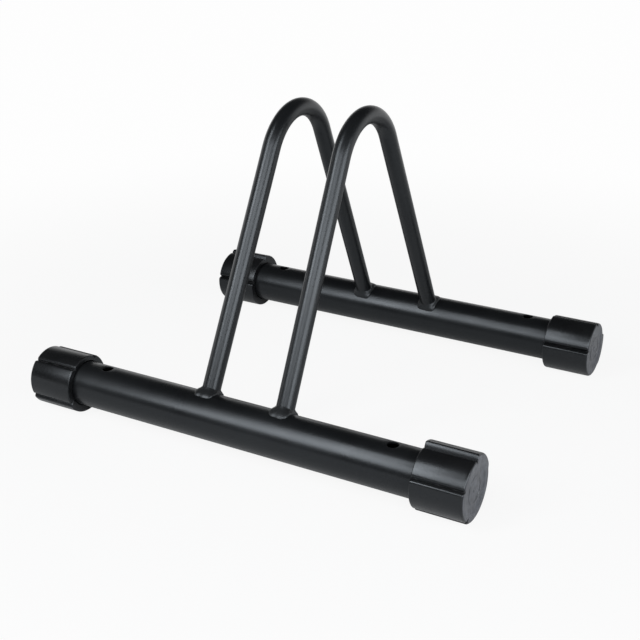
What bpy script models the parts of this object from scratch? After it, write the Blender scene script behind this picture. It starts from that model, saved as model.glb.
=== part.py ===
"""Floor parking stand for one bicycle wheel.

Two parallel base tubes carry two bent hoops, welded on at their feet. A wheel is pushed in between the hoops.
Each tube end wears a moulded cap with pads of unlike height, and turning a cap levels the stand.
Metres, +Z up, +X along the base tubes, the front towards -Y, the origin on the floor under the middle.
"""

import math

import bmesh
import bpy

# Base tubes
BASE_TUBE_RADIUS = 0.020
BASE_TUBE_WALL = 0.0015
BASE_TUBE_LENGTH = 0.412
BASE_TUBE_SPACING = 0.302
BASE_TUBE_FACETS = 48

# Drilled holes in the tops of the base tubes
HOLE_RADIUS = 0.005
HOLE_OFFSET = 0.140
HOLE_FACETS = 24

# Hoops
HOOP_TUBE_RADIUS = 0.008
HOOP_TUBE_WALL = 0.0015
HOOP_SPACING = 0.0739
HOOP_BEND_RADIUS = 0.0492
HOOP_BEND_HEIGHT = 0.1865
HOOP_INWARD_LEAN = math.radians(0.86)
HOOP_ARC_STEPS = 14
HOOP_BEVEL_RESOLUTION = 10

# Weld fillets round the hoop feet
WELD_RISE = 0.0054
WELD_TOE = 0.0040
WELD_EDGE = 0.0007
WELD_HOLLOW = 0.30
WELD_RIPPLES = 13
WELD_RIPPLE_POINTS = 4
WELD_RIPPLE_DEPTH = 0.07
WELD_LUMP_DEPTH = 0.10
WELD_FACE_STEPS = 3
WELD_LUMP_TURN = {"left_front": 0.3, "left_rear": 1.7, "right_front": 2.6, "right_rear": 4.1}

# Levelling caps: four pads follow each other round the tube axis, counted from the top towards the front
CAP_LENGTH = 0.0440
CAP_END_WALL = 0.0032
CAP_LOW_PAD = 0.0250
CAP_MIDDLE_PAD = 0.0260
CAP_REST_PAD = 0.0270
CAP_HIGH_PAD = 0.0286
CAP_PAD_WIDTHS = (70.0, 80.0, 140.0, 70.0)
CAP_GROOVE_AFTER = (True, True, False, True)
CAP_GROOVE_RADIUS = 0.0230
CAP_GROOVE_HALF_WIDTH = 4.5
CAP_THINNEST_RADIUS = 0.0216
CAP_FACET = 7.5
CAP_SLIVER = 1.0
CAP_LEAD_IN = 0.0010
CAP_LEAD_IN_DEPTH = 0.0010
CAP_RIM_ROUND = 0.0020
CAP_RIM_STEPS = 2
CAP_DISH_RADIUS = 0.0185
CAP_DISH_DEPTH = 0.0008

# Pads of each cap in the order in which they are seen
CAP_PADS = {
    "front_left": (CAP_LOW_PAD, CAP_MIDDLE_PAD, CAP_REST_PAD, CAP_MIDDLE_PAD),
    "front_right": (CAP_LOW_PAD, CAP_MIDDLE_PAD, CAP_REST_PAD, CAP_HIGH_PAD),
    "rear_left": (CAP_HIGH_PAD, CAP_MIDDLE_PAD, CAP_REST_PAD, CAP_LOW_PAD),
    "rear_right": (CAP_LOW_PAD, CAP_MIDDLE_PAD, CAP_REST_PAD, CAP_HIGH_PAD),
}

# First pad edge of each cap, in degrees from the top towards the front
CAP_CLOCKING = {
    "front_left": -31.5,
    "front_right": -2.0,
    "rear_left": -72.5,
    "rear_right": -74.0,
}

# Gap between pieces that touch on the real stand
GAP = 0.0003

# Worked-out places
AXIS_HEIGHT = CAP_REST_PAD
CENTRE_Y = -(CAP_HIGH_PAD - CAP_MIDDLE_PAD) / 2
TUBE_Y = {"front": CENTRE_Y - BASE_TUBE_SPACING / 2, "rear": CENTRE_Y + BASE_TUBE_SPACING / 2}
SIDE_SIGN = {"left": -1, "right": 1}
CAP_OUTER_X = BASE_TUBE_LENGTH / 2 + GAP + CAP_END_WALL

# Finishes: colour, roughness, metallic
POWDER_COAT = ((0.012, 0.013, 0.014, 1.0), 0.36, 0.0)
COATED_WELD = ((0.015, 0.016, 0.017, 1.0), 0.42, 0.0)
MOULDED_NYLON = ((0.013, 0.013, 0.014, 1.0), 0.45, 0.0)


def clear_scene():
    """Removes every object of the open scene."""
    for thing in list(bpy.data.objects):
        bpy.data.objects.remove(thing, do_unlink=True)


def new_collection(name):
    """Makes a collection under the scene's own."""
    collection = bpy.data.collections.new(name)
    bpy.context.scene.collection.children.link(collection)
    return collection


def new_object(name, data, collection, parent=None):
    """Puts a mesh, a curve or an empty into a collection."""
    thing = bpy.data.objects.new(name, data)
    collection.objects.link(thing)
    thing.parent = parent
    return thing


def finish_object(thing, finish):
    """Gives an object its own material and smooth shading with sharp edges kept."""
    colour, roughness, metallic = finish
    material = bpy.data.materials.new(thing.name + "_finish")
    material.use_nodes = True
    shader = material.node_tree.nodes["Principled BSDF"]
    shader.inputs["Base Color"].default_value = colour
    shader.inputs["Roughness"].default_value = roughness
    shader.inputs["Metallic"].default_value = metallic
    material.diffuse_color = colour
    thing.data.materials.append(material)
    thing.data.shade_smooth()
    thing.data.set_sharp_from_angle(angle=math.radians(32))


def hide_cutter(thing):
    """Marks an object as a cutter."""
    thing.hide_render = True
    thing.display_type = "WIRE"


def cut(thing, cutter):
    """Cuts one object by another."""
    modifier = thing.modifiers.new("cut_" + cutter.name, "BOOLEAN")
    modifier.operation = "DIFFERENCE"
    modifier.solver = "EXACT"
    modifier.object = cutter


def cylinder_mesh(name, radius, length, facets):
    """A closed cylinder along Z, centred on its origin."""
    mesh = bpy.data.meshes.new(name)
    shape = bmesh.new()
    bmesh.ops.create_cone(
        shape, cap_ends=True, segments=facets, radius1=radius, radius2=radius, depth=length
    )
    shape.to_mesh(mesh)
    shape.free()
    return mesh


def cylinder_cutter(name, radius, length, facets, collection, parent=None):
    """A cylinder that only cuts."""
    cutter = new_object(name, cylinder_mesh(name, radius, length, facets), collection, parent)
    hide_cutter(cutter)
    return cutter


def mesh_from_path(name, points, radius, resolution):
    """Sweeps a round section along a polyline and returns the open mesh of the sweep."""
    curve = bpy.data.curves.new(name + "_path", "CURVE")
    curve.dimensions = "3D"
    curve.bevel_depth = radius
    curve.bevel_resolution = resolution
    spline = curve.splines.new("POLY")
    spline.points.add(len(points) - 1)
    for knot, point in zip(spline.points, points):
        knot.co = (*point, 1.0)
    sweep = new_object(name + "_path", curve, bpy.context.scene.collection)
    evaluated = sweep.evaluated_get(bpy.context.evaluated_depsgraph_get())
    mesh = bpy.data.meshes.new_from_object(evaluated)
    mesh.name = name
    bpy.data.objects.remove(sweep, do_unlink=True)
    shape = bmesh.new()
    shape.from_mesh(mesh)
    bmesh.ops.recalc_face_normals(shape, faces=shape.faces)
    shape.to_mesh(mesh)
    shape.free()
    return mesh


def loft_mesh(name, rings, closed):
    """Skins rings of points that follow each other, either end to end or with both ends capped."""
    shape = bmesh.new()
    loops = [[shape.verts.new(point) for point in ring] for ring in rings]
    followers = loops[1:] + loops[:1] if closed else loops[1:]
    for near, far in zip(loops, followers):
        for index in range(len(near)):
            after = (index + 1) % len(near)
            shape.faces.new((near[index], near[after], far[after], far[index]))
    if not closed:
        shape.faces.new(loops[0])
        shape.faces.new(loops[-1])
    bmesh.ops.recalc_face_normals(shape, faces=shape.faces)
    mesh = bpy.data.meshes.new(name)
    shape.to_mesh(mesh)
    shape.free()
    return mesh


def base_tube(row, parts, cutters):
    """A base tube: a turned wall along X, drilled through its top near each end."""
    name = row + "_base_tube"
    outer = BASE_TUBE_RADIUS
    inner = BASE_TUBE_RADIUS - BASE_TUBE_WALL
    half = BASE_TUBE_LENGTH / 2
    profile = [(outer, 0, half), (outer, 0, -half), (inner, 0, -half), (inner, 0, half)]
    mesh = bpy.data.meshes.new(name)
    mesh.from_pydata(profile, [(0, 1), (1, 2), (2, 3), (3, 0)], [])
    tube = new_object(name, mesh, parts)
    tube.location = (0, TUBE_Y[row], AXIS_HEIGHT)
    tube.rotation_euler = (0, math.pi / 2, 0)
    screw = tube.modifiers.new("turn", "SCREW")
    screw.axis = "Z"
    screw.angle = 2 * math.pi
    screw.steps = BASE_TUBE_FACETS
    screw.render_steps = BASE_TUBE_FACETS
    screw.use_merge_vertices = True
    screw.merge_threshold = 0.00005
    screw.use_smooth_shade = True
    for side, sign in SIDE_SIGN.items():
        drill = cylinder_cutter(f"{row}_{side}_drill", HOLE_RADIUS, 2 * outer, HOLE_FACETS, cutters)
        drill.location = (sign * HOLE_OFFSET, TUBE_Y[row], AXIS_HEIGHT + outer)
        cut(tube, drill)
    finish_object(tube, POWDER_COAT)
    return tube


def tube_clearance(row, cutters):
    """The space that a base tube takes from the hoop feet."""
    facets = BASE_TUBE_FACETS
    clearance = cylinder_cutter(
        row + "_tube_clearance", BASE_TUBE_RADIUS + GAP, 2.4 * HOOP_SPACING, facets, cutters
    )
    clearance.location = (0, TUBE_Y[row], AXIS_HEIGHT)
    clearance.rotation_euler = (0, math.pi / 2, 0)
    return clearance


def leg_lean():
    """Lean of the hoop legs from upright: each leg points at a tube axis and runs into the bend."""
    half_span = BASE_TUBE_SPACING / 2
    reach = math.hypot(half_span, HOOP_BEND_HEIGHT)
    return math.atan2(half_span, HOOP_BEND_HEIGHT) - math.asin(HOOP_BEND_RADIUS / reach)


def hoop_path():
    """Centre line of a hoop in its own YZ plane, from inside the front tube to inside the rear tube."""
    lean = leg_lean()
    buried = BASE_TUBE_RADIUS / 2
    half_span = BASE_TUBE_SPACING / 2
    foot = (0, half_span - buried * math.sin(lean), buried * math.cos(lean))
    first = math.pi - lean
    arc = []
    for step in range(HOOP_ARC_STEPS + 1):
        angle = first - step * (math.pi - 2 * lean) / HOOP_ARC_STEPS
        y = HOOP_BEND_RADIUS * math.cos(angle)
        z = HOOP_BEND_HEIGHT + HOOP_BEND_RADIUS * math.sin(angle)
        arc.append((0, y, z))
    return [(0, -foot[1], foot[2]), *arc, foot]


def hoop(side, clearances, parts):
    """A hoop: one bent tube with coped feet, hung on an empty that leans it inwards."""
    sign = SIDE_SIGN[side]
    seat = new_object(side + "_hoop_seat", None, parts)
    seat.location = (sign * HOOP_SPACING / 2, CENTRE_Y, AXIS_HEIGHT)
    seat.rotation_euler = (0, -sign * HOOP_INWARD_LEAN, 0)
    name = side + "_hoop"
    mesh = mesh_from_path(name, hoop_path(), HOOP_TUBE_RADIUS, HOOP_BEVEL_RESOLUTION)
    bent = new_object(name, mesh, parts, seat)
    shell = bent.modifiers.new("wall", "SOLIDIFY")
    shell.thickness = HOOP_TUBE_WALL
    shell.offset = -1
    for clearance in clearances.values():
        cut(bent, clearance)
    finish_object(bent, POWDER_COAT)
    return seat


def weld_section(turn, size):
    """Section of a weld fillet in the half plane at one turn round the leg: a hollow face over a corner."""
    leg = HOOP_TUBE_RADIUS + GAP
    tube = BASE_TUBE_RADIUS + GAP
    rise = WELD_RISE * size
    reach = leg + WELD_TOE * size

    def saddle(radius):
        return math.sqrt(tube**2 - (radius * math.sin(turn)) ** 2)

    top = (leg + WELD_EDGE, saddle(leg) + rise)
    toe = (reach, saddle(reach) + WELD_EDGE)
    corner = (leg + WELD_HOLLOW * WELD_TOE, saddle(leg) + WELD_HOLLOW * WELD_RISE)
    face = []
    for step in range(WELD_FACE_STEPS + 1):
        share = step / WELD_FACE_STEPS
        weights = ((1 - share) ** 2, 2 * share * (1 - share), share**2)
        face.append(tuple(sum(w * p[axis] for w, p in zip(weights, (top, corner, toe))) for axis in (0, 1)))
    heel = (leg, saddle(leg))
    return [heel, (leg, top[1]), *face, (reach, saddle(reach))]


def weld_mesh(name, lump_turn):
    """A weld fillet round a leg that stands on its local Z axis, with ripples and a few broad lumps."""
    count = WELD_RIPPLES * WELD_RIPPLE_POINTS
    rings = []
    for step in range(count):
        turn = 2 * math.pi * step / count
        ripple = WELD_RIPPLE_DEPTH * math.cos(WELD_RIPPLES * turn)
        lump = WELD_LUMP_DEPTH * math.sin(3 * turn + lump_turn)
        section = weld_section(turn, 1 + ripple + lump)
        rings.append([(reach * math.cos(turn), reach * math.sin(turn), rise) for reach, rise in section])
    return loft_mesh(name, rings, closed=True)


def weld(side, row, seat, parts):
    """A weld fillet at one hoop foot, square to the leg and hollowed to the tube."""
    name = f"{side}_{row}_weld"
    row_sign = -1 if row == "front" else 1
    bead = new_object(name, weld_mesh(name, WELD_LUMP_TURN[f"{side}_{row}"]), parts, seat)
    bead.location = (0, row_sign * BASE_TUBE_SPACING / 2, 0)
    bead.rotation_euler = (row_sign * leg_lean(), 0, 0)
    finish_object(bead, COATED_WELD)


def pad_radius(radius, angle):
    """Radius of a pad with flats square to every whole facet angle, so that one of them lies on the floor."""
    return radius / math.cos(math.radians(angle - CAP_FACET * round(angle / CAP_FACET)))


def pad_edge(angle):
    """Edge of a pad, moved to the corner between two flats if one is near, so that no sliver is left."""
    corner = CAP_FACET * (math.floor(angle / CAP_FACET) + 0.5)
    return corner if abs(corner - angle) < CAP_SLIVER else angle


def cap_outline(corner):
    """Angle and radius round a cap: its pads, with V grooves or plain ramps between them."""
    outline = []
    start = CAP_CLOCKING[corner]
    for radius, width, grooved in zip(CAP_PADS[corner], CAP_PAD_WIDTHS, CAP_GROOVE_AFTER):
        end = start + width
        low = pad_edge(start + CAP_GROOVE_HALF_WIDTH)
        high = pad_edge(end - CAP_GROOVE_HALF_WIDTH)
        first_step = math.ceil((low + CAP_SLIVER - CAP_FACET / 2) / CAP_FACET)
        last_step = math.floor((high - CAP_SLIVER - CAP_FACET / 2) / CAP_FACET)
        steps = [CAP_FACET * (step + 0.5) for step in range(first_step, last_step + 1)]
        for angle in (low, *steps, high):
            outline.append((angle, pad_radius(radius, angle)))
        if grooved:
            outline.append((end, CAP_GROOVE_RADIUS))
        start = end
    return outline


def cap_stations():
    """Distance from a cap's open end, and how far its outline is drawn in there."""
    stations = [(0.0, CAP_LEAD_IN_DEPTH), (CAP_LEAD_IN, 0.0)]
    for step in range(CAP_RIM_STEPS + 1):
        turn = math.pi / 2 * step / CAP_RIM_STEPS
        along = CAP_LENGTH - CAP_RIM_ROUND * (1 - math.sin(turn))
        stations.append((along, CAP_RIM_ROUND * (1 - math.cos(turn))))
    return stations


def cap_mesh(name, sign, corner):
    """A cap's outside: its outline lofted along the tube, drawn in at both ends."""
    outline = cap_outline(corner)
    open_end = CAP_OUTER_X - CAP_LENGTH
    rings = []
    for along, inset in cap_stations():
        ring = []
        for angle, radius in outline:
            reach = max(radius - inset, CAP_THINNEST_RADIUS)
            turn = math.radians(angle)
            ring.append((sign * (open_end + along), -reach * math.sin(turn), reach * math.cos(turn)))
        rings.append(ring)
    return loft_mesh(name, rings, closed=False)


def cap(row, side, parts, cutters):
    """A levelling cap: bored for the tube, with a shallow dish in its closed end."""
    sign = SIDE_SIGN[side]
    corner = f"{row}_{side}"
    axle = new_object(corner + "_cap_axis", None, parts)
    axle.location = (0, TUBE_Y[row], AXIS_HEIGHT)
    name = corner + "_cap"
    moulding = new_object(name, cap_mesh(name, sign, corner), parts, axle)
    bore_radius = BASE_TUBE_RADIUS + GAP
    bore = cylinder_cutter(corner + "_bore", bore_radius, 2 * CAP_LENGTH, BASE_TUBE_FACETS, cutters, axle)
    bore.location = (sign * (CAP_OUTER_X - CAP_END_WALL - CAP_LENGTH), 0, 0)
    bore.rotation_euler = (0, math.pi / 2, 0)
    dish_depth = 2 * CAP_DISH_DEPTH
    dish = cylinder_cutter(corner + "_dish", CAP_DISH_RADIUS, dish_depth, BASE_TUBE_FACETS, cutters, axle)
    dish.location = (sign * CAP_OUTER_X, 0, 0)
    dish.rotation_euler = (0, math.pi / 2, 0)
    cut(moulding, bore)
    cut(moulding, dish)
    finish_object(moulding, MOULDED_NYLON)


def main():
    """Builds the stand."""
    clear_scene()
    parts = new_collection("bicycle_parking_stand")
    cutters = new_collection("cutters")
    clearances = {row: tube_clearance(row, cutters) for row in TUBE_Y}
    for row in TUBE_Y:
        base_tube(row, parts, cutters)
        for side in SIDE_SIGN:
            cap(row, side, parts, cutters)
    for side in SIDE_SIGN:
        seat = hoop(side, clearances, parts)
        for row in TUBE_Y:
            weld(side, row, seat, parts)


main()
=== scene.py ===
"""Studio scene of a floor parking stand for one bicycle wheel.

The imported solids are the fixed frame. Every piece is modelled anew at the place and size of the solid that it
stands for, and dressed in a procedural finish. Metres, +Z up, +X along the base tubes, the front towards -Y.
"""

import logging
import math
from abc import ABC, abstractmethod
from contextlib import contextmanager
from dataclasses import dataclass, field
from enum import Enum
from typing import Any, Callable, Iterator, Union

import bmesh
import bpy
from bpy.types import Material, Node, NodeSocket, NodeTree, Object
from mathutils import Matrix, Vector


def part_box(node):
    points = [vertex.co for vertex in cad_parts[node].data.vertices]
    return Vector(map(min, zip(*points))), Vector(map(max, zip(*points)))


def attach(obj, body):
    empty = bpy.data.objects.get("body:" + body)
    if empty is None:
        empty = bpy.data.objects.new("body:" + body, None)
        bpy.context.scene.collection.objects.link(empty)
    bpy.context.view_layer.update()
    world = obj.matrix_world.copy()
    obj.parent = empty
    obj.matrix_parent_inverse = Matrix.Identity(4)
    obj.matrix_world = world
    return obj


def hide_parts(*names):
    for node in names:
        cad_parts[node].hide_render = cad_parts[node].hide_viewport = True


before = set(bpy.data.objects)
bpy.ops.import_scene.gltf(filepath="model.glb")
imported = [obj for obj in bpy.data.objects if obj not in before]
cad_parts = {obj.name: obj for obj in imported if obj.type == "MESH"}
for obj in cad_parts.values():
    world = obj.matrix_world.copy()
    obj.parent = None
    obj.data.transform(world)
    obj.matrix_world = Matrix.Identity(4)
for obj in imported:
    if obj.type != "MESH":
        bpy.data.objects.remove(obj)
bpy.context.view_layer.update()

LOG = logging.getLogger("parking_stand")
FULL_TURN = 2 * math.pi
QUARTER_TURN = math.pi / 2
MERGE_DISTANCE = 1e-6

# Turn that lays an upright primitive along the base tubes.
ALONG_TUBES = (0.0, QUARTER_TURN, 0.0)

Colour = tuple[float, float, float, float]
Span = tuple[float, float]
Value = Union[float, NodeSocket]


class Row(Enum):
    """The base tube that a piece belongs to."""

    FRONT = "front"
    REAR = "rear"

    @property
    def sign(self) -> int:
        """-1 for the front tube and +1 for the rear one."""
        return -1 if self is Row.FRONT else 1


class Side(Enum):
    """The end of the stand that a piece belongs to."""

    LEFT = "left"
    RIGHT = "right"

    @property
    def sign(self) -> int:
        """-1 on the left and +1 on the right."""
        return -1 if self is Side.LEFT else 1


class Slot(Enum):
    """The record's material slots."""

    FRAME_PAINT = "frame_paint"
    WELD_PAINT = "weld_paint"
    CAP_PLASTIC = "cap_plastic"


class Bench:
    """Selection, edit mode and modifiers, used as a modeller would by hand."""

    @staticmethod
    def deselect() -> None:
        """Drops the whole selection, solids of the frame included."""
        bpy.ops.object.select_all(action="DESELECT")

    @staticmethod
    def focus(piece: Object) -> None:
        """Makes one piece the only selected and active object.

        Args:
            piece: The piece.
        """
        Bench.deselect()
        piece.select_set(True)
        bpy.context.view_layer.objects.active = piece

    @staticmethod
    def adopt(name: str) -> Object:
        """Names the primitive that was just added.

        Args:
            name: Name for the object and its mesh.

        Returns:
            The named object.
        """
        piece = bpy.context.active_object
        piece.name = name
        piece.data.name = name
        return piece

    @staticmethod
    def settle(piece: Object) -> None:
        """Moves a piece's place, turn and scale into its mesh."""
        Bench.focus(piece)
        bpy.ops.object.transform_apply(location=True, rotation=True, scale=True)

    @staticmethod
    def modify(piece: Object, kind: str, **settings: Any) -> None:
        """Adds a modifier and applies it.

        Args:
            piece: Object to change.
            kind: Blender's name for the modifier type.
            **settings: Properties of the modifier.
        """
        modifier = piece.modifiers.new(kind.lower(), kind)
        for name, value in settings.items():
            setattr(modifier, name, value)
        Bench.focus(piece)
        bpy.ops.object.modifier_apply(modifier=modifier.name)

    @staticmethod
    def cut(piece: Object, cutter: Object) -> None:
        """Cuts a piece by a cutter and throws the cutter away."""
        Bench.modify(piece, "BOOLEAN", operation="DIFFERENCE", solver="EXACT", object=cutter)
        bpy.data.objects.remove(cutter, do_unlink=True)

    @staticmethod
    @contextmanager
    def edit(piece: Object) -> Iterator[None]:
        """Keeps a piece in edit mode, with all of it selected at the start.

        Args:
            piece: Object to edit.

        Returns:
            A context for the edit.
        """
        Bench.focus(piece)
        bpy.ops.object.mode_set(mode="EDIT")
        bpy.ops.mesh.select_mode(type="VERT")
        bpy.ops.mesh.select_all(action="SELECT")
        yield
        bpy.ops.object.mode_set(mode="OBJECT")

    @staticmethod
    def place_selected(piece: Object, rule: Callable[[Vector], Vector]) -> None:
        """Moves each selected point of a mesh in edit mode.

        Args:
            piece: Object in edit mode.
            rule: Gives a point's new place from its old one.
        """
        shape = bmesh.from_edit_mesh(piece.data)
        for point in shape.verts:
            if point.select:
                point.co = rule(point.co)
        bmesh.update_edit_mesh(piece.data)

    @staticmethod
    def close() -> None:
        """Merges the mesh in edit mode, fills its open ends and turns its faces outwards."""
        bpy.ops.mesh.select_all(action="SELECT")
        bpy.ops.mesh.remove_doubles(threshold=MERGE_DISTANCE)
        bpy.ops.mesh.fill_holes(sides=0)
        bpy.ops.mesh.select_all(action="SELECT")
        bpy.ops.mesh.normals_make_consistent(inside=False)

    @staticmethod
    def smooth(piece: Object, sharp_from: float) -> None:
        """Shades a piece smooth.

        Args:
            piece: Object to shade.
            sharp_from: Edges at this angle or more stay sharp, in degrees.
        """
        Bench.focus(piece)
        bpy.ops.object.shade_smooth_by_angle(angle=math.radians(sharp_from))


class NodeSheet:
    """Places and links the nodes of one material or group."""

    def __init__(self, tree: NodeTree) -> None:
        """Takes the tree to work on."""
        self.tree = tree

    def add(self, kind: str, **settings: Any) -> Node:
        """Adds a node.

        Args:
            kind: Blender's name for the node type.
            **settings: Properties of the node.

        Returns:
            The new node.
        """
        node = self.tree.nodes.new(kind)
        for name, value in settings.items():
            setattr(node, name, value)
        return node

    def feed(self, target: NodeSocket, value: Value) -> None:
        """Links a socket into another one, or sets a plain number on it.

        Args:
            target: Input to feed.
            value: Output to link, or a number.
        """
        if isinstance(value, NodeSocket):
            self.tree.links.new(value, target)
        else:
            target.default_value = value

    def math(self, operation: str, first: Value, second: Value, clamp: bool = False) -> NodeSocket:
        """Works on two values.

        Args:
            operation: Blender's name for the operation.
            first: First value.
            second: Second value.
            clamp: Keeps the result between 0 and 1.

        Returns:
            The result.
        """
        node = self.add("ShaderNodeMath", operation=operation, use_clamp=clamp)
        self.feed(node.inputs[0], first)
        self.feed(node.inputs[1], second)
        return node.outputs[0]

    def noise(self, place: NodeSocket, size: Value, detail: float = 2.0) -> NodeSocket:
        """Cloudy noise of a real size.

        Args:
            place: Coordinates to read.
            size: Size of one cloud in metres.
            detail: Octaves of finer noise.

        Returns:
            The noise, about 0.5 on average.
        """
        node = self.add("ShaderNodeTexNoise", noise_dimensions="3D")
        self.feed(node.inputs["Vector"], place)
        self.feed(node.inputs["Scale"], self.math("DIVIDE", 1.0, size))
        self.feed(node.inputs["Detail"], detail)
        return node.outputs["Fac"]

    def remap(self, value: Value, from_range: Span, to_range: Span = (0.0, 1.0)) -> NodeSocket:
        """Stretches a value from one range to another, smoothly and with its ends held.

        Args:
            value: Value to stretch.
            from_range: Range that the value comes from.
            to_range: Range that it goes to.

        Returns:
            The stretched value.
        """
        node = self.add("ShaderNodeMapRange", interpolation_type="SMOOTHSTEP")
        self.feed(node.inputs["Value"], value)
        self.feed(node.inputs["From Min"], from_range[0])
        self.feed(node.inputs["From Max"], from_range[1])
        self.feed(node.inputs["To Min"], to_range[0])
        self.feed(node.inputs["To Max"], to_range[1])
        return node.outputs["Result"]

    def mix(self, share: Value, first: Any, second: Any) -> NodeSocket:
        """Mixes two colours.

        Args:
            share: Share of the second colour.
            first: First colour, plain or linked.
            second: Second colour, plain or linked.

        Returns:
            The mixed colour.
        """
        node = self.add("ShaderNodeMix", data_type="RGBA")
        self.feed(node.inputs["Factor"], share)
        self.feed(node.inputs[6], first)
        self.feed(node.inputs[7], second)
        return node.outputs[2]

    def place(self) -> NodeSocket:
        """Object coordinates, which are the stand's own metres."""
        return self.add("ShaderNodeTexCoord").outputs["Object"]

    def normal(self) -> NodeSocket:
        """Direction that the smooth surface looks in."""
        return self.add("ShaderNodeNewGeometry").outputs["Normal"]

    def split(self, vector: NodeSocket) -> Any:
        """Takes a vector apart.

        Args:
            vector: The vector.

        Returns:
            Its parts, by the names X, Y and Z.
        """
        node = self.add("ShaderNodeSeparateXYZ")
        self.feed(node.inputs[0], vector)
        return node.outputs

    def rays(self) -> tuple[NodeSocket, NodeSocket]:
        """Tells apart the rays that reach a surface.

        Returns:
            Masks of the rays from the camera, and of those that another surface mirrors or bends.
        """
        path = self.add("ShaderNodeLightPath").outputs
        bent = self.math("ADD", path["Is Glossy Ray"], path["Is Transmission Ray"], clamp=True)
        return path["Is Camera Ray"], bent


class SurfaceEffects:
    """Shader groups that more than one finish uses, each built once.

    Attributes:
        FINE_SHARE: Share of the finest noise in the grain.
    """

    FINE_SHARE = 0.3

    def __init__(self) -> None:
        """Builds the groups."""
        self.grain = self._build_grain()
        self.dust = self._build_dust()
        self.wear = self._build_wear()
        self.ends = self._build_painted_end_reflection()

    @staticmethod
    def _new_group(
        name: str, sizes: tuple[str, ...], outputs: tuple[str, ...] = ("Mask",)
    ) -> tuple[NodeSheet, Any, Any]:
        """Starts a group that reads a place and some sizes.

        Args:
            name: Name of the group.
            sizes: Names of the inputs for sizes.
            outputs: Names of the outputs, which are all values.

        Returns:
            The sheet, the sockets that give the inputs and the sockets that take the outputs.
        """
        tree = bpy.data.node_groups.new(name, "ShaderNodeTree")
        tree.interface.new_socket("Place", in_out="INPUT", socket_type="NodeSocketVector")
        for label in sizes:
            tree.interface.new_socket(label, in_out="INPUT", socket_type="NodeSocketFloat")
        for label in outputs:
            tree.interface.new_socket(label, in_out="OUTPUT", socket_type="NodeSocketFloat")
        sheet = NodeSheet(tree)
        return sheet, sheet.add("NodeGroupInput").outputs, sheet.add("NodeGroupOutput").inputs

    def _build_grain(self) -> NodeTree:
        """Builds two sizes of grain as a height, and broad clouds as a tone.

        Returns:
            The group.
        """
        sizes = ("Coarse Size", "Fine Size", "Cloud Size")
        sheet, given, result = self._new_group("coat_grain", sizes, ("Height", "Tone"))
        coarse = sheet.noise(given["Place"], given["Coarse Size"], 1.5)
        fine = sheet.noise(given["Place"], given["Fine Size"], 1.0)
        cloud = sheet.noise(given["Place"], given["Cloud Size"], 3.0)
        specks = sheet.math("MULTIPLY", fine, self.FINE_SHARE)
        height = sheet.math("ADD", sheet.math("MULTIPLY", coarse, 1 - self.FINE_SHARE), specks)
        tone = sheet.math("ADD", sheet.math("MULTIPLY", cloud, 1 - self.FINE_SHARE), specks)
        sheet.feed(result["Height"], height)
        sheet.feed(result["Tone"], sheet.remap(tone, (0.25, 0.75)))
        return sheet.tree

    def _build_dust(self) -> NodeTree:
        """Builds a mask of fine dust that settles in patches on faces that look up.

        Returns:
            The group.
        """
        sheet, given, result = self._new_group("settled_dust", ("Patch Size", "Fleck Size"))
        upward = sheet.remap(sheet.split(sheet.normal())["Z"], (0.2, 1.0))
        patch = sheet.noise(given["Place"], given["Patch Size"], 4.0)
        fleck = sheet.noise(given["Place"], given["Fleck Size"], 1.0)
        patch = sheet.remap(patch, (0.35, 0.7), (0.15, 1.0))
        fleck = sheet.remap(fleck, (0.4, 0.7), (0.4, 1.0))
        broken = sheet.math("MULTIPLY", patch, fleck)
        sheet.feed(result["Mask"], sheet.math("MULTIPLY", upward, broken, clamp=True))
        return sheet.tree

    def _build_wear(self) -> NodeTree:
        """Builds a mask of rubbed edges, broken up by noise.

        Returns:
            The group.
        """
        sheet, given, result = self._new_group("edge_wear", ("Edge Width", "Break Size"))
        rounded = sheet.add("ShaderNodeBevel", samples=6)
        sheet.feed(rounded.inputs["Radius"], given["Edge Width"])
        turned = sheet.add("ShaderNodeVectorMath", operation="DOT_PRODUCT")
        sheet.feed(turned.inputs[0], rounded.outputs["Normal"])
        sheet.feed(turned.inputs[1], sheet.normal())
        edge = sheet.remap(turned.outputs["Value"], (0.999, 0.93))
        rubbed = sheet.remap(sheet.noise(given["Place"], given["Break Size"], 4.0), (0.42, 0.62))
        sheet.feed(result["Mask"], sheet.math("MULTIPLY", edge, rubbed, clamp=True))
        return sheet.tree

    def _build_painted_end_reflection(self) -> NodeTree:
        """Builds a mask of the faces that look out of the stand's ends, in patches, where a lighter colour is
        painted as a reflection.

        Returns:
            The group.
        """
        sheet, given, result = self._new_group("painted_end_reflection", ("Reflection Patch Size",))
        half = sheet.math("SIGN", sheet.split(given["Place"])["X"], 0.0)
        outward = sheet.math("MULTIPLY", sheet.split(sheet.normal())["X"], half)
        # Faces that look outwards along the tube get the painted reflection of the floor, broken up by noise
        # patches.
        end = sheet.remap(outward, (0.90, 0.99))
        patch = sheet.noise(given["Place"], given["Reflection Patch Size"], 4.0)
        reflection_patches = sheet.remap(patch, (0.35, 0.65), (0.6, 1.0))
        sheet.feed(result["Mask"], sheet.math("MULTIPLY", end, reflection_patches, clamp=True))
        return sheet.tree


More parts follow.
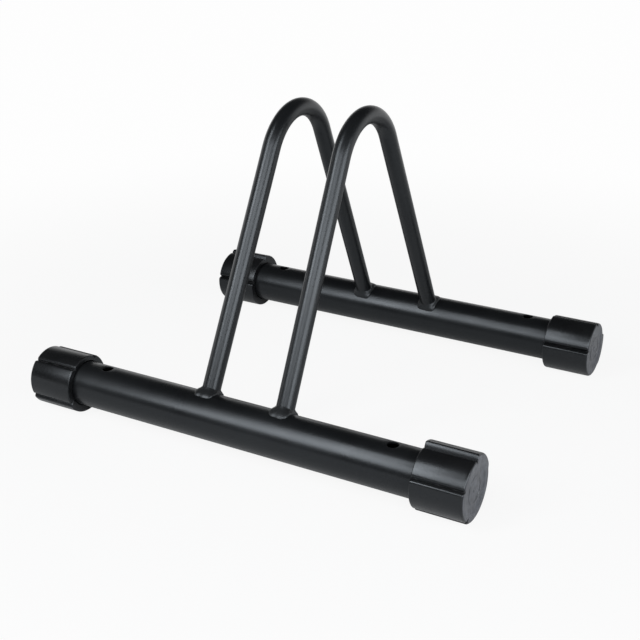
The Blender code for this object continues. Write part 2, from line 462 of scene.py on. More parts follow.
@dataclass(frozen=True)
class Finish:
    """A dark finish with grain, settled dust, rubbed edges, and a painted reflection in patches on the faces
    that look out of the stand's ends.

    The powder coat of the tubes, the thicker coat over the welds and the moulded caps are this finish with
    their own values.
    """

    name: str
    colour: Colour
    cloud_colour: Colour
    rubbed_colour: Colour
    roughness: float
    roughness_swing: float
    specular_level: float
    coarse_size: float
    fine_size: float
    grain_depth: float
    dust_share: float
    rub_share: float
    edge_width: float
    # Lighter colour painted on the faces that look out of the ends, as a reflection of the floor.
    painted_reflection_colour: Colour
    cloud_size: float = 0.045
    patch_size: float = 0.030
    fleck_size: float = 0.0009
    break_size: float = 0.006
    reflection_patch_size: float = 0.005
    dust_colour: Colour = (0.28, 0.275, 0.265, 1.0)
    dust_dulling: float = 0.5
    sheen_tint: Colour = (0.88, 0.94, 1.0, 1.0)

    def material(self, effects: SurfaceEffects) -> Material:
        """Builds the material.

        Args:
            effects: The shared shader groups.

        Returns:
            The material.
        """
        material = bpy.data.materials.new(self.name)
        material.use_nodes = True
        material.diffuse_color = self.colour
        sheet = NodeSheet(material.node_tree)
        shader = material.node_tree.nodes["Principled BSDF"]
        sheet.feed(shader.inputs["Specular IOR Level"], self.specular_level)
        sheet.feed(shader.inputs["Specular Tint"], self.sheen_tint)
        place = sheet.place()
        grain_sizes = (self.coarse_size, self.fine_size, self.cloud_size)
        grain = self._effect(sheet, effects.grain, place, grain_sizes)
        dust = self._effect(sheet, effects.dust, place, (self.patch_size, self.fleck_size))
        wear = self._effect(sheet, effects.wear, place, (self.edge_width, self.break_size))
        ends = self._effect(sheet, effects.ends, place, (self.reflection_patch_size,))
        dusty = sheet.math("MULTIPLY", dust.outputs["Mask"], self.dust_share)
        rubbed = sheet.math("MULTIPLY", wear.outputs["Mask"], self.rub_share)
        paint = sheet.mix(grain.outputs["Tone"], self.colour, self.cloud_colour)
        # Painted reflection: the faces that look out of the stand's ends take a lighter colour in place of the
        # floor that they mirror.
        paint = sheet.mix(ends.outputs["Mask"], paint, self.painted_reflection_colour)
        paint = sheet.mix(rubbed, paint, self.rubbed_colour)
        sheet.feed(shader.inputs["Base Color"], sheet.mix(dusty, paint, self.dust_colour))
        low = self.roughness - self.roughness_swing
        high = self.roughness + self.roughness_swing
        gloss = sheet.remap(grain.outputs["Tone"], (0.0, 1.0), (low, high))
        gloss = sheet.math("ADD", gloss, sheet.math("MULTIPLY", dusty, self.dust_dulling), clamp=True)
        sheet.feed(shader.inputs["Roughness"], gloss)
        bump = sheet.add("ShaderNodeBump")
        sheet.feed(bump.inputs["Distance"], self.grain_depth)
        sheet.feed(bump.inputs["Height"], grain.outputs["Height"])
        sheet.feed(shader.inputs["Normal"], bump.outputs["Normal"])
        return material

    @staticmethod
    def _effect(
        sheet: NodeSheet, group: NodeTree, place: NodeSocket, sizes: tuple[float, ...]
    ) -> Node:
        """Places a shared effect with this finish's own sizes.

        Args:
            sheet: Nodes of the material.
            group: The effect.
            place: Coordinates that it reads.
            sizes: Values of its other inputs, in order.

        Returns:
            The group node.
        """
        node = sheet.add("ShaderNodeGroup", node_tree=group)
        sheet.feed(node.inputs["Place"], place)
        for socket, size in zip(list(node.inputs)[1:], sizes):
            sheet.feed(socket, size)
        return node


@dataclass(frozen=True)
class StandLayout:
    """Places and sizes that several pieces share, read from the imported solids.

    The hoops' bend isn't in the boxes of the solids, so its sizes are given here as the solids have them.
    """

    tube_radius: float
    tube_half_length: float
    axis_height: float
    tube_y: dict[Row, float]
    cap_open_x: float
    cap_outer_x: float
    hoop_tube_radius: float = 0.0080
    hoop_spacing: float = 0.0739
    hoop_bend_radius: float = 0.0492
    hoop_bend_height: float = 0.1865
    hoop_inward_lean: float = math.radians(0.86)

    @classmethod
    def from_frame(cls) -> "StandLayout":
        """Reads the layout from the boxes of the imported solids.

        Returns:
            The layout.
        """
        boxes = {row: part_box(f"{row.value}_base_tube") for row in Row}
        low, high = boxes[Row.FRONT]
        cap_low, cap_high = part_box("front_right_cap")
        return cls(
            tube_radius=(high.z - low.z) / 2,
            tube_half_length=(high.x - low.x) / 2,
            axis_height=(high.z + low.z) / 2,
            tube_y={row: (box[0].y + box[1].y) / 2 for row, box in boxes.items()},
            cap_open_x=cap_low.x,
            cap_outer_x=cap_high.x,
        )

    @property
    def half_span(self) -> float:
        """Half the distance between the base tubes."""
        return (self.tube_y[Row.REAR] - self.tube_y[Row.FRONT]) / 2

    @property
    def centre_y(self) -> float:
        """Middle between the base tubes."""
        return (self.tube_y[Row.REAR] + self.tube_y[Row.FRONT]) / 2

    @property
    def bend_reach(self) -> float:
        """Distance from a tube axis to the middle of a hoop's bend."""
        return math.hypot(self.half_span, self.hoop_bend_height)

    @property
    def leg_lean(self) -> float:
        """Lean of a hoop leg from upright: it points at a tube axis and runs into the bend."""
        to_middle = math.atan2(self.half_span, self.hoop_bend_height)
        return to_middle - math.asin(self.hoop_bend_radius / self.bend_reach)

    def hoop_seat(self, side: Side) -> Matrix:
        """Place of a hoop's own upright plane, leaning inwards.

        Args:
            side: Which hoop.

        Returns:
            The matrix from the hoop's plane to the stand.
        """
        foot = Vector((side.sign * self.hoop_spacing / 2, self.centre_y, self.axis_height))
        return Matrix.Translation(foot) @ Matrix.Rotation(-side.sign * self.hoop_inward_lean, 4, "Y")


@dataclass
class StandPiece(ABC):
    """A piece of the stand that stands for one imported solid.

    It belongs to the welded frame and has the frame's paint, unless its own class says otherwise.

    Attributes:
        layout: Places and sizes that several pieces share.
        sharp_from: Edges at this angle or more stay sharp, in degrees.
    """

    layout: StandLayout
    sharp_from: float = 40.0

    @property
    @abstractmethod
    def node(self) -> str:
        """Name of the solid that the piece stands for."""

    @property
    def body(self) -> str:
        """Name of the body that the piece rides on."""
        return "frame"

    @property
    def slot(self) -> Slot:
        """Material slot of the piece."""
        return Slot.FRAME_PAINT

    @abstractmethod
    def build(self) -> Object:
        """Models the piece in place."""

    def dress(self, piece: Object, material: Material) -> None:
        """Gives a built piece its shading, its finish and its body.

        Args:
            piece: The built piece.
            material: Its finish.
        """
        Bench.smooth(piece, self.sharp_from)
        piece.data.materials.clear()
        piece.data.materials.append(material)
        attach(piece, self.body)
        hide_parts(self.node)
        LOG.info("%s: %d faces for %s", piece.name, len(piece.data.polygons), self.node)


@dataclass
class GroundTube(StandPiece):
    """A base tube with a drilled hole near each end."""

    row: Row = Row.FRONT
    wall: float = 0.0015
    facets: int = 144
    hole_radius: float = 0.0050
    hole_x: float = 0.140
    hole_facets: int = 64
    hole_margin: float = 0.009
    edge_round: float = 0.00035
    edge_steps: int = 3
    edge_angle: float = 50.0

    @property
    def node(self) -> str:
        """Name of the tube's solid."""
        return f"{self.row.value}_base_tube"

    def build(self) -> Object:
        """Models the tube: a cylinder with a wall, drilled and with its edges broken.

        Returns:
            The tube.
        """
        axis = (0.0, self.layout.tube_y[self.row], self.layout.axis_height)
        Bench.deselect()
        bpy.ops.mesh.primitive_cylinder_add(
            vertices=self.facets,
            radius=self.layout.tube_radius,
            depth=2 * self.layout.tube_half_length,
            end_fill_type="NOTHING",
            location=axis,
            rotation=ALONG_TUBES,
        )
        tube = Bench.adopt(f"{self.row.value}_ground_tube")
        Bench.settle(tube)
        self._band_holes(tube)
        Bench.modify(tube, "SOLIDIFY", thickness=self.wall, offset=-1.0, use_even_offset=True)
        for side in Side:
            self._drill(tube, side)
        Bench.modify(
            tube,
            "BEVEL",
            width=self.edge_round,
            segments=self.edge_steps,
            limit_method="ANGLE",
            angle_limit=math.radians(self.edge_angle),
        )
        return tube

    def _band_holes(self, tube: Object) -> None:
        """Cuts the long faces beside each hole, so that the drilling disturbs only a short band.

        Args:
            tube: The tube.
        """
        with Bench.edit(tube):
            for side in Side:
                for edge in (-1, 1):
                    bpy.ops.mesh.select_all(action="SELECT")
                    place = (side.sign * self.hole_x + edge * self.hole_margin, 0, 0)
                    bpy.ops.mesh.bisect(plane_co=place, plane_no=(1, 0, 0))

    def _drill(self, tube: Object, side: Side) -> None:
        """Drills the hole at one end through the top wall.

        Args:
            tube: The tube.
            side: Which end.
        """
        radius = self.layout.tube_radius
        top = (side.sign * self.hole_x, self.layout.tube_y[self.row], self.layout.axis_height + radius)
        Bench.deselect()
        bpy.ops.mesh.primitive_cylinder_add(
            vertices=self.hole_facets, radius=self.hole_radius, depth=2 * radius, location=top
        )
        Bench.cut(tube, Bench.adopt(f"{self.row.value}_{side.value}_drill"))


@dataclass
class BentHoop(StandPiece):
    """A hoop of bent tube with its feet coped to the base tubes."""

    side: Side = Side.LEFT
    facets: int = 64
    bend_steps: int = 56
    leg_steps: int = 10
    sink: float = 0.0004

    @property
    def node(self) -> str:
        """Name of the hoop's solid."""
        return f"{self.side.value}_hoop"

    def build(self) -> Object:
        """Models the hoop: a circle drawn up a leg, spun round the bend and drawn down the other leg.

        Returns:
            The hoop.
        """
        lean = self.layout.leg_lean
        buried = self.layout.tube_radius / 2
        leg = math.sqrt(self.layout.bend_reach**2 - self.layout.hoop_bend_radius**2) - buried
        up = Vector((0, math.sin(lean), math.cos(lean)))
        down = Vector((0, math.sin(lean), -math.cos(lean)))
        foot = Vector((0, -self.layout.half_span, 0)) + buried * up
        Bench.deselect()
        bpy.ops.mesh.primitive_circle_add(
            vertices=self.facets,
            radius=self.layout.hoop_tube_radius,
            fill_type="NOTHING",
            location=foot,
            rotation=(-lean, 0, 0),
        )
        hoop = Bench.adopt(f"{self.side.value}_bent_hoop")
        Bench.settle(hoop)
        with Bench.edit(hoop):
            self._draw(up * leg)
            bpy.ops.mesh.spin(
                steps=self.bend_steps,
                angle=math.pi - 2 * lean,
                center=(0, 0, self.layout.hoop_bend_height),
                axis=(1, 0, 0),
            )
            self._draw(down * leg)
            Bench.close()
        hoop.matrix_world = self.layout.hoop_seat(self.side)
        Bench.settle(hoop)
        for row in Row:
            self._cope(hoop, row)
        return hoop

    def _draw(self, path: Vector) -> None:
        """Extrudes the selected ring along a straight path in several steps."""
        for _ in range(self.leg_steps):
            bpy.ops.mesh.extrude_region_move(TRANSFORM_OT_translate={"value": path / self.leg_steps})

    def _cope(self, hoop: Object, row: Row) -> None:
        """Cuts a foot to the round of a base tube, a little below its surface.

        Args:
            hoop: The hoop.
            row: Which base tube.
        """
        Bench.deselect()
        bpy.ops.mesh.primitive_cylinder_add(
            vertices=self.facets * 2,
            radius=self.layout.tube_radius - self.sink,
            depth=4 * self.layout.hoop_spacing,
            location=(0, self.layout.tube_y[row], self.layout.axis_height),
            rotation=ALONG_TUBES,
        )
        Bench.cut(hoop, Bench.adopt(f"{self.side.value}_{row.value}_coping_cutter"))


# Where the lumps of each weld bead begin, in radians round the leg.
LUMP_TURNS: dict[tuple[Side, Row], float] = {
    (Side.LEFT, Row.FRONT): 0.3,
    (Side.LEFT, Row.REAR): 1.7,
    (Side.RIGHT, Row.FRONT): 2.6,
    (Side.RIGHT, Row.REAR): 4.1,
}


@dataclass
class FilletWeld(StandPiece):
    """A weld fillet round a hoop foot: hollow by the leg, full at its toe and lumpy along its run."""

    sharp_from: float = 60.0
    side: Side = Side.LEFT
    row: Row = Row.FRONT
    rise: float = 0.0056
    toe: float = 0.0041
    edge: float = 0.0005
    sink: float = 0.0006
    leg_gap: float = 0.0001
    throat: Span = (0.24, 0.52)
    belly: Span = (1.00, 0.58)
    face_steps: int = 14
    run_steps: int = 182
    spread_along_tube: float = 0.40
    spread_outside: float = 1.35
    spread_inside: float = 0.50
    oblong_power: float = 4.5
    rise_along_tube: float = 0.62
    ripples: int = 13
    ripple_depth: float = 0.020
    ripple_slant: float = 0.5
    lumps: int = 3
    lump_depth: float = 0.10

    @property
    def node(self) -> str:
        """Name of the weld's solid."""
        return f"{self.side.value}_{self.row.value}_weld"

    @property
    def slot(self) -> Slot:
        """The coat over the welds."""
        return Slot.WELD_PAINT

    def build(self) -> Object:
        """Models the fillet: its section spun round the leg, then settled on the tube and made uneven.

        Returns:
            The fillet.
        """
        section = self._section()
        Bench.deselect()
        bpy.ops.mesh.primitive_circle_add(vertices=len(section), radius=self.rise, fill_type="NOTHING")
        fillet = Bench.adopt(f"{self.side.value}_{self.row.value}_fillet")
        for point, (reach, height) in zip(fillet.data.vertices, section):
            point.co = (reach, 0, height)
        with Bench.edit(fillet):
            bpy.ops.mesh.spin(steps=self.run_steps, angle=FULL_TURN, center=(0, 0, 0), axis=(0, 0, 1))
            Bench.close()
            Bench.place_selected(fillet, self._lay)
        leg = Matrix.Translation((0, self.row.sign * self.layout.half_span, 0))
        leg = leg @ Matrix.Rotation(self.row.sign * self.layout.leg_lean, 4, "X")
        fillet.matrix_world = self.layout.hoop_seat(self.side) @ leg
        Bench.settle(fillet)
        return fillet

    def _section(self) -> list[tuple[float, float]]:
        """Outline of the fillet: distance from the leg's axis, and height over the tube.

        Returns:
            The outline's corners, with the curved face between the leg and the toe.
        """
        leg = self.layout.hoop_tube_radius
        top = Vector((leg + self.leg_gap, self.rise))
        throat = Vector((leg + self.throat[0] * self.toe, self.throat[1] * self.rise))
        belly = Vector((leg + self.belly[0] * self.toe, self.belly[1] * self.rise))
        toe = Vector((leg + self.toe, self.edge))
        face = []
        for step in range(self.face_steps + 1):
            share = step / self.face_steps
            rest = 1 - share
            point = rest**3 * top + 3 * rest**2 * share * throat
            point += 3 * rest * share**2 * belly
            point += share**3 * toe
            face.append((point.x, point.y))
        buried_toe = (leg + self.toe, -self.sink)
        buried_heel = (leg - self.sink, -self.sink)
        buried_top = (leg - self.sink, self.rise + self.sink)
        return [buried_heel, buried_top, *face, buried_toe]

    def _lay(self, place: Vector) -> Vector:
        """Lays a point of the spun section on the tube, with ripples and lumps.

        Args:
            place: A point of the even, flat fillet.

        Returns:
            Its place on the tube.
        """
        leg = self.layout.hoop_tube_radius
        turn = math.atan2(place.y, place.x)
        reach = math.hypot(place.x, place.y)
        out = (reach - leg) / self.toe
        phase = LUMP_TURNS[(self.side, self.row)]
        wave = self.ripples * (turn + phase) + self.ripple_slant * FULL_TURN * out
        size = 1 + self.lump_depth * math.sin(self.lumps * turn + phase) * math.cos(turn - phase)
        size += self.ripple_depth * math.cos(wave)
        across_tube = math.sin(turn) ** 2
        rise = self.rise_along_tube + (1 - self.rise_along_tube) * across_tube
        if reach > leg:
            reach = leg + (reach - leg) * size * self._spread(turn)
        height = place.z * size * rise if place.z > 0 else place.z
        across = reach * math.sin(turn)
        saddle = math.sqrt(self.layout.tube_radius**2 - across**2)
        return Vector((reach * math.cos(turn), across, saddle + height))

    def _spread(self, turn: float) -> float:
        """How much wider the fillet lies on the tube than its section says, by a rounded oblong in plan.

        Args:
            turn: Turn round the leg, 0 along the tube.

        Returns:
            Factor on the toe's width: wide on the stand's outer side, narrow along the tube and inside.
        """
        leg = self.layout.hoop_tube_radius
        outer = math.sin(turn) * self.row.sign > 0
        along = leg + self.toe * self.spread_along_tube
        across = leg + self.toe * (self.spread_outside if outer else self.spread_inside)
        power = self.oblong_power
        plan = (abs(math.cos(turn)) / along) ** power + (abs(math.sin(turn)) / across) ** power
        return (plan ** (-1 / power) - leg) / self.toe


class Pad(Enum):
    """Pads of a levelling cap, by the radius at their tops."""

    LOW = 0.0250
    MIDDLE = 0.0260
    REST = 0.0270
    HIGH = 0.0286


@dataclass(frozen=True)
class CapTurn:
    """How a cap is turned on its tube.

    Attributes:
        first_edge: Edge of the first pad, in degrees from the top towards the front.
        pads: The pads that follow each other from there.
    """

    first_edge: float
    pads: tuple[Pad, ...]


CAP_TURNS: dict[tuple[Row, Side], CapTurn] = {
    (Row.FRONT, Side.LEFT): CapTurn(-31.5, (Pad.LOW, Pad.MIDDLE, Pad.REST, Pad.MIDDLE)),
    (Row.FRONT, Side.RIGHT): CapTurn(-2.0, (Pad.LOW, Pad.MIDDLE, Pad.REST, Pad.HIGH)),
    (Row.REAR, Side.LEFT): CapTurn(-72.5, (Pad.HIGH, Pad.MIDDLE, Pad.REST, Pad.LOW)),
    (Row.REAR, Side.RIGHT): CapTurn(-74.0, (Pad.LOW, Pad.MIDDLE, Pad.REST, Pad.HIGH)),
}


@dataclass(frozen=True)
class RoundLoop:
    """A round loop of points, in the bore or on the closed end.

    Attributes:
        along: Distance from the open end.
        radius: Distance from the tube's axis.
    """

    along: float
    radius: float

    def reach(self, pad_reach: float) -> float:
        """Distance from the axis on a column, the same on all of them."""
        return self.radius


@dataclass(frozen=True)
class PadLoop:
    """A loop of points over the pads.

    Attributes:
        along: Distance from the open end.
        inset: How far the pads are drawn in.
        least: Least distance from the tube's axis.
    """

    along: float
    inset: float
    least: float

    def reach(self, pad_reach: float) -> float:
        """Distance from the axis on a column, given that of its pad."""
        return max(pad_reach - self.inset, self.least)


CapLoop = Union[RoundLoop, PadLoop]


@dataclass
class LevellingCap(StandPiece):
    """A moulded cap with pads of unlike height, and V grooves or a ramp between them."""

    sharp_from: float = 35.0
    row: Row = Row.FRONT
    side: Side = Side.LEFT
    pad_widths: tuple[float, ...] = (70.0, 80.0, 140.0, 70.0)
    groove_after: tuple[bool, ...] = (True, True, False, True)
    groove_radius: float = 0.0230
    groove_reach: float = 6.4
    groove_steps: int = 8
    groove_crowding: float = 1.3
    pad_step: float = 2.5
    thinnest_radius: float = 0.0216
    bore_radius: float = 0.0203
    bore_flare: float = 0.0005
    end_wall: float = 0.0032
    lead_in: float = 0.0010
    rim_round: float = 0.0020
    round_steps: int = 8
    dish_radius: float = 0.0185
    dish_depth: float = 0.0007
    dish_slope: float = 0.0012
    dish_bend: float = 0.3
    ring_radius: float = 0.0118
    ring_width: float = 0.0012
    ring_height: float = 0.0002
    gate_radius: float = 0.0021

    @property
    def corner(self) -> str:
        """Name of the stand's corner."""
        return f"{self.row.value}_{self.side.value}"

    @property
    def node(self) -> str:
        """Name of the cap's solid."""
        return f"{self.corner}_cap"

    @property
    def body(self) -> str:
        """The cap's own turning body."""
        return f"{self.corner}_foot_cap"

    @property
    def slot(self) -> Slot:
        """The caps' plastic."""
        return Slot.CAP_PLASTIC

    @property
    def length(self) -> float:
        """Length of the cap along the tube."""
        return self.layout.cap_outer_x - self.layout.cap_open_x

    def build(self) -> Object:
        """Models the cap: one loop drawn out of the bore, over the outside and into the dish.

        Returns:
            The cap.
        """
        columns = self._columns()
        loops = self._loops()
        Bench.deselect()
        bpy.ops.mesh.primitive_circle_add(
            vertices=len(columns), radius=self.bore_radius, fill_type="NOTHING", rotation=ALONG_TUBES
        )
        cap = Bench.adopt(f"{self.corner}_levelling_cap")
        Bench.settle(cap)
        for point, (turn, reach) in zip(cap.data.vertices, columns):
            point.co = self._place(loops[0].along, loops[0].reach(reach), turn)
        reach_at = {round(turn % FULL_TURN, 4): reach for turn, reach in columns}
        with Bench.edit(cap):
            for loop in loops[1:]:
                bpy.ops.mesh.extrude_edges_move()
                Bench.place_selected(cap, lambda place, at=loop: self._on_loop(place, at, reach_at))
            Bench.close()
        return cap

    def _columns(self) -> list[tuple[float, float]]:
        """Turn and radius of the lines that run along the cap, closer together at the edges of its pads.

        Returns:
            Turn from the top towards the front in radians, and outside radius there.
        """
        columns = []
        seat = CAP_TURNS[(self.row, self.side)]
        start = seat.first_edge
        shares = [step / self.groove_steps for step in range(self.groove_steps)]
        rise = [self.groove_reach * share**self.groove_crowding for share in shares]
        for index, (pad, width) in enumerate(zip(seat.pads, self.pad_widths)):
            before = self._edge_reach(seat.pads, index - 1)
            after = self._edge_reach(seat.pads, index)
            flat = width - 2 * self.groove_reach
            count = round(flat / self.pad_step)
            across = [self.groove_reach + flat * step / count for step in range(count + 1)]
            fall = [width - offset for offset in reversed(rise[1:])]
            for offset in (*rise, *across, *fall):
                edge = before if offset < width / 2 else after
                from_edge = min(offset, width - offset, self.groove_reach) / self.groove_reach
                reach = edge + (pad.value - edge) * math.sin(QUARTER_TURN * from_edge)
                columns.append((math.radians(start + offset), reach))
            start += width
        return columns

    def _edge_reach(self, pads: tuple[Pad, ...], index: int) -> float:
        """Distance from the axis at the edge after a pad.

        Args:
            pads: The cap's pads.
            index: Place of the pad among them.

        Returns:
            The bottom of the groove, or the middle of the ramp where there is no groove.
        """
        if self.groove_after[index]:
            return self.groove_radius
        return (pads[index].value + pads[(index + 1) % len(pads)].value) / 2

    def _loops(self) -> list[CapLoop]:
        """Lists the loops from the bottom of the bore, over the outside, to the middle of the closed end.

        Returns:
            The loops in order.
        """
        turns = [QUARTER_TURN * step / self.round_steps for step in range(self.round_steps + 1)]
        end = self.length
        dish = end - self.dish_depth
        bend = self.dish_bend
        ring = dish + self.ring_height
        ring_low = self.ring_radius - self.ring_width
        loops: list[CapLoop] = [
            RoundLoop(end - self.end_wall, self.bore_radius),
            RoundLoop(self.bore_flare, self.bore_radius),
            RoundLoop(0.0, self.bore_radius + self.bore_flare),
        ]
        for turn in turns:
            along = self.lead_in * (1 - math.cos(turn))
            loops.append(PadLoop(along, self.lead_in * (1 - math.sin(turn)), self.thinnest_radius))
        for turn in turns:
            along = end - self.rim_round * (1 - math.sin(turn))
            loops.append(PadLoop(along, self.rim_round * (1 - math.cos(turn)), self.thinnest_radius))
        loops += [
            RoundLoop(end, self.dish_radius + self.dish_slope),
            RoundLoop(end - bend * self.dish_depth, self.dish_radius + bend * self.dish_slope),
            RoundLoop(dish, self.dish_radius - self.dish_slope),
            RoundLoop(dish, self.ring_radius + self.ring_height),
            RoundLoop(ring, self.ring_radius),
            RoundLoop(ring, ring_low),
            RoundLoop(dish, ring_low - self.ring_height),
            RoundLoop(dish, self.gate_radius + self.ring_height),
            RoundLoop(ring, self.gate_radius),
            RoundLoop(ring, self.gate_radius / 2),
        ]
        return loops

    def _place(self, along: float, reach: float, turn: float) -> Vector:
        """A point on the cap.

        Args:
            along: Distance from the open end.
            reach: Distance from the tube's axis.
            turn: Turn from the top towards the front.

        Returns:
            The point in the stand's frame.
        """
        return Vector(
            (
                self.side.sign * (self.layout.cap_open_x + along),
                self.layout.tube_y[self.row] - reach * math.sin(turn),
                self.layout.axis_height + reach * math.cos(turn),
            )
        )

    def _on_loop(self, place: Vector, loop: CapLoop, reach_at: dict[float, float]) -> Vector:
        """Moves a point along its column to a loop.

        Args:
            place: Where the point is.
            loop: The loop that it goes to.
            reach_at: Outside radius of the pads by column.

        Returns:
            The point on the loop.
        """
        front = self.layout.tube_y[self.row] - place.y
        turn = math.atan2(front, place.z - self.layout.axis_height) % FULL_TURN
        nearest = min(reach_at, key=lambda column: abs(column - turn))
        return self._place(loop.along, loop.reach(reach_at[nearest]), turn)


@dataclass(frozen=True)
class Softbox:
    """A soft lamp that looks at the stand."""

    name: str
    azimuth: float
    elevation: float
    width: float
    height: float
    power: float
    distance: float = 1.45
    tint: tuple[float, float, float] = (0.96, 0.98, 1.0)

    def hang(self, target: Vector) -> None:
        """Hangs the lamp round a point.

        Args:
            target: Point that the lamp looks at.
        """
        back = direction(self.azimuth, self.elevation)
        bpy.ops.object.light_add(type="AREA", location=target + back * self.distance)
        lamp = bpy.context.active_object
        lamp.name = self.name
        lamp.rotation_mode = "QUATERNION"
        lamp.rotation_quaternion = back.to_track_quat("Z", "Y")
        lamp.data.shape = "RECTANGLE"
        lamp.data.size = self.width
        lamp.data.size_y = self.height
        lamp.data.energy = self.power
        lamp.data.color = self.tint


def direction(azimuth: float, elevation: float) -> Vector:
    """Direction from the stand towards a lamp or the camera.

    Args:
        azimuth: Degrees round from the front, towards the right.
        elevation: Degrees above the floor.

    Returns:
        A vector of length 1.
    """
    turn = math.radians(azimuth)
    rise = math.radians(elevation)
    return Vector((math.sin(turn) * math.cos(rise), -math.cos(turn) * math.cos(rise), math.sin(rise)))


@dataclass
class Studio:
    """Floor, lamps, surroundings and camera."""

    target: Vector = field(default_factory=lambda: Vector((-0.010174, -0.0013, 0.065901)))
    camera_azimuth: float = 29.339
    camera_elevation: float = 22.451
    camera_roll: float = 0.224
    camera_distance: float = 1.06497
    lens: float = 64.26
    sensor: float = 36.0
    clip: Span = (0.01, 100.0)
    floor_radius: float = 9.0
    floor_facets: int = 96
    floor_rim: float = 0.25
    floor_colour: Colour = (0.60, 0.60, 0.60, 1.0)
    floor_roughness: float = 0.9
    fibre_size: float = 0.6
    fibre_shade: float = 0.985
    floor_glow: Span = (0.90, 0.985)
    floor_glow_reach: Span = (0.25, 0.95)
    mirrored_glow: Span = (0.10, 0.95)
    mirrored_glow_reach: Span = (0.45, 1.30)
    sky_colour: Colour = (0.030, 0.031, 0.033, 1.0)
    backdrop_colour: Colour = (0.97, 0.97, 0.97, 1.0)
    backdrop_behind: Span = (0.0, 0.6)
    backdrop_left: Span = (-0.92, -0.80)
    backdrop_low: Span = (0.1, 0.5)
    lamps: tuple[Softbox, ...] = (
        Softbox("key_softbox", -30.5, 42.0, 0.32, 1.10, 8.4),
        Softbox("left_softbox", -17.5, 32.5, 0.44, 0.58, 3.9),
        Softbox("front_softbox", 18.0, 30.0, 0.95, 0.50, 5.2),
        Softbox("upper_softbox", 24.0, 39.0, 1.00, 0.42, 3.4),
        Softbox("right_softbox", 72.0, 16.5, 1.40, 0.60, 14.6),
    )

    def set_up(self) -> None:
        """Sets up everything round the stand."""
        bpy.context.scene.view_settings.view_transform = "Standard"
        self._lay_floor()
        self._light_surroundings()
        for lamp in self.lamps:
            lamp.hang(self.target)
        self._set_camera()

    def _lay_floor(self) -> None:
        """Lays a round floor whose rim is turned down."""
        Bench.deselect()
        bpy.ops.mesh.primitive_circle_add(
            vertices=self.floor_facets, radius=self.floor_radius, fill_type="NGON"
        )
        floor = Bench.adopt("studio_floor")
        with Bench.edit(floor):
            bpy.ops.mesh.inset(thickness=self.floor_rim)
            bpy.ops.mesh.select_all(action="INVERT")
            Bench.place_selected(floor, self._turn_down)
        floor.data.materials.append(self._floor_material())
        LOG.info("floor laid")

    def _turn_down(self, place: Vector) -> Vector:
        """Lowers the points of the floor's outer edge."""
        outer = math.hypot(place.x, place.y) > self.floor_radius - self.floor_rim / 2
        return Vector((place.x, place.y, -self.floor_rim if outer else 0.0))

    def _floor_material(self) -> Material:
        """Pale paper that glows where it is seen or mirrored, and keeps a faint shadow of the stand.

        Returns:
            The material.
        """
        material = bpy.data.materials.new("studio_paper")
        material.use_nodes = True
        sheet = NodeSheet(material.node_tree)
        shader = material.node_tree.nodes["Principled BSDF"]
        output = material.node_tree.nodes["Material Output"]
        sheet.feed(shader.inputs["Roughness"], self.floor_roughness)
        sheet.feed(shader.inputs["Specular IOR Level"], 0.0)
        fibre = sheet.noise(sheet.place(), self.fibre_size)
        darker = tuple(self.fibre_shade * part for part in self.floor_colour[:3]) + (1.0,)
        sheet.feed(shader.inputs["Base Color"], sheet.mix(fibre, self.floor_colour, darker))
        glow = sheet.add("ShaderNodeEmission")
        sheet.feed(glow.inputs["Strength"], 1.0)
        away = sheet.add("ShaderNodeVectorMath", operation="LENGTH")
        sheet.feed(away.inputs[0], sheet.place())
        direct = sheet.remap(away.outputs["Value"], self.floor_glow_reach, self.floor_glow)
        mirrored = sheet.remap(away.outputs["Value"], self.mirrored_glow_reach, self.mirrored_glow)
        seen, bent = sheet.rays()
        share = sheet.math("MULTIPLY", seen, direct)
        share = sheet.math("ADD", share, sheet.math("MULTIPLY", bent, mirrored), clamp=True)
        blend = sheet.add("ShaderNodeMixShader")
        sheet.feed(blend.inputs["Fac"], share)
        sheet.feed(blend.inputs[1], shader.outputs["BSDF"])
        sheet.feed(blend.inputs[2], glow.outputs["Emission"])
        sheet.feed(output.inputs["Surface"], blend.outputs["Shader"])
        return material

    def _light_surroundings(self) -> None:
        """Makes the surroundings: dim, with a pale backdrop that is seen all round.

        The stand mirrors the backdrop behind it and on its left, and the dim studio on the lamps' side.
        """
        world = bpy.data.worlds.new("studio_surroundings")
        bpy.context.scene.world = world
        world.use_nodes = True
        sheet = NodeSheet(world.node_tree)
        background = world.node_tree.nodes["Background"]
        way = sheet.split(sheet.add("ShaderNodeTexCoord").outputs["Generated"])
        behind = sheet.remap(way["Y"], self.backdrop_behind)
        on_left = sheet.remap(way["X"], self.backdrop_left, (1.0, 0.0))
        low = sheet.remap(way["Z"], self.backdrop_low, (1.0, 0.0))
        wall = sheet.math("MULTIPLY", sheet.math("MAXIMUM", behind, on_left), low)
        seen, bent = sheet.rays()
        pale = sheet.math("ADD", seen, sheet.math("MULTIPLY", bent, wall), clamp=True)
        sheet.feed(background.inputs["Color"], sheet.mix(pale, self.sky_colour, self.backdrop_colour))

    def _set_camera(self) -> None:
        """Sets the camera at the photograph's angle."""
        back = direction(self.camera_azimuth, self.camera_elevation)
        bpy.ops.object.camera_add(location=self.target + back * self.camera_distance)
        camera = bpy.context.active_object
        camera.name = "photo_camera"
        camera.rotation_mode = "QUATERNION"
        level = (-back).to_track_quat("-Z", "Y")
        roll = Matrix.Rotation(math.radians(self.camera_roll), 4, "Z").to_quaternion()
        camera.rotation_quaternion = level @ roll
        camera.data.sensor_width = self.sensor
        camera.data.lens = self.lens
        camera.data.clip_start = self.clip[0]
        camera.data.clip_end = self.clip[1]
        bpy.context.scene.camera = camera


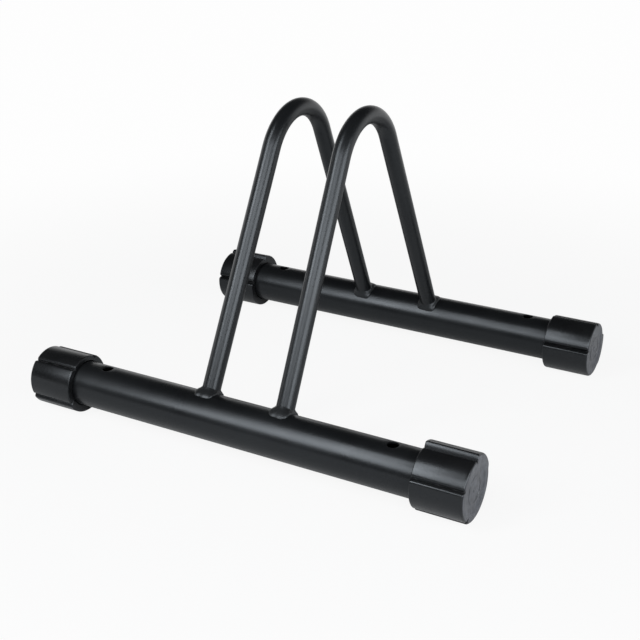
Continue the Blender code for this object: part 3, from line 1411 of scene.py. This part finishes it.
POWDER_COAT = Finish(
    name="satin_powder_coat",
    colour=(0.0036, 0.0040, 0.0045, 1.0),
    cloud_colour=(0.0056, 0.0062, 0.0068, 1.0),
    rubbed_colour=(0.050, 0.052, 0.055, 1.0),
    roughness=0.30,
    roughness_swing=0.035,
    specular_level=0.48,
    coarse_size=0.0016,
    fine_size=0.0004,
    grain_depth=0.000025,
    dust_share=0.010,
    rub_share=0.4,
    edge_width=0.0006,
    painted_reflection_colour=(0.0056, 0.0062, 0.0068, 1.0),
)

WELD_COAT = Finish(
    name="coated_weld",
    colour=(0.0062, 0.0068, 0.0074, 1.0),
    cloud_colour=(0.0096, 0.0103, 0.0110, 1.0),
    rubbed_colour=(0.085, 0.086, 0.090, 1.0),
    roughness=0.42,
    roughness_swing=0.05,
    specular_level=0.52,
    coarse_size=0.0022,
    fine_size=0.0006,
    grain_depth=0.00009,
    dust_share=0.03,
    rub_share=0.2,
    edge_width=0.0005,
    painted_reflection_colour=(0.0096, 0.0103, 0.0110, 1.0),
)

CAP_MOULDING = Finish(
    name="moulded_cap",
    colour=(0.0036, 0.0038, 0.0041, 1.0),
    cloud_colour=(0.0054, 0.0056, 0.0060, 1.0),
    rubbed_colour=(0.078, 0.078, 0.081, 1.0),
    roughness=0.28,
    roughness_swing=0.03,
    specular_level=0.54,
    coarse_size=0.0009,
    fine_size=0.0003,
    grain_depth=0.00004,
    dust_share=0.010,
    rub_share=0.55,
    edge_width=0.0007,
    # Painted reflection on the caps' end faces: lighter and bluish, in place of the floor that they mirror.
    painted_reflection_colour=(0.080, 0.084, 0.096, 1.0),
)


def main() -> None:
    """Builds and dresses the stand, piece by piece, and sets up the studio."""
    logging.basicConfig(level=logging.INFO, format="%(name)s: %(message)s")
    layout = StandLayout.from_frame()
    effects = SurfaceEffects()
    materials = {
        Slot.FRAME_PAINT: POWDER_COAT.material(effects),
        Slot.WELD_PAINT: WELD_COAT.material(effects),
        Slot.CAP_PLASTIC: CAP_MOULDING.material(effects),
    }
    pieces: list[StandPiece] = [GroundTube(layout, row=row) for row in Row]
    pieces += [BentHoop(layout, side=side) for side in Side]
    pieces += [FilletWeld(layout, side=side, row=row) for side in Side for row in Row]
    pieces += [LevellingCap(layout, row=row, side=side) for row in Row for side in Side]
    for part in pieces:
        part.dress(part.build(), materials[part.slot])
    Studio().set_up()


if __name__ == "__main__":
    main()
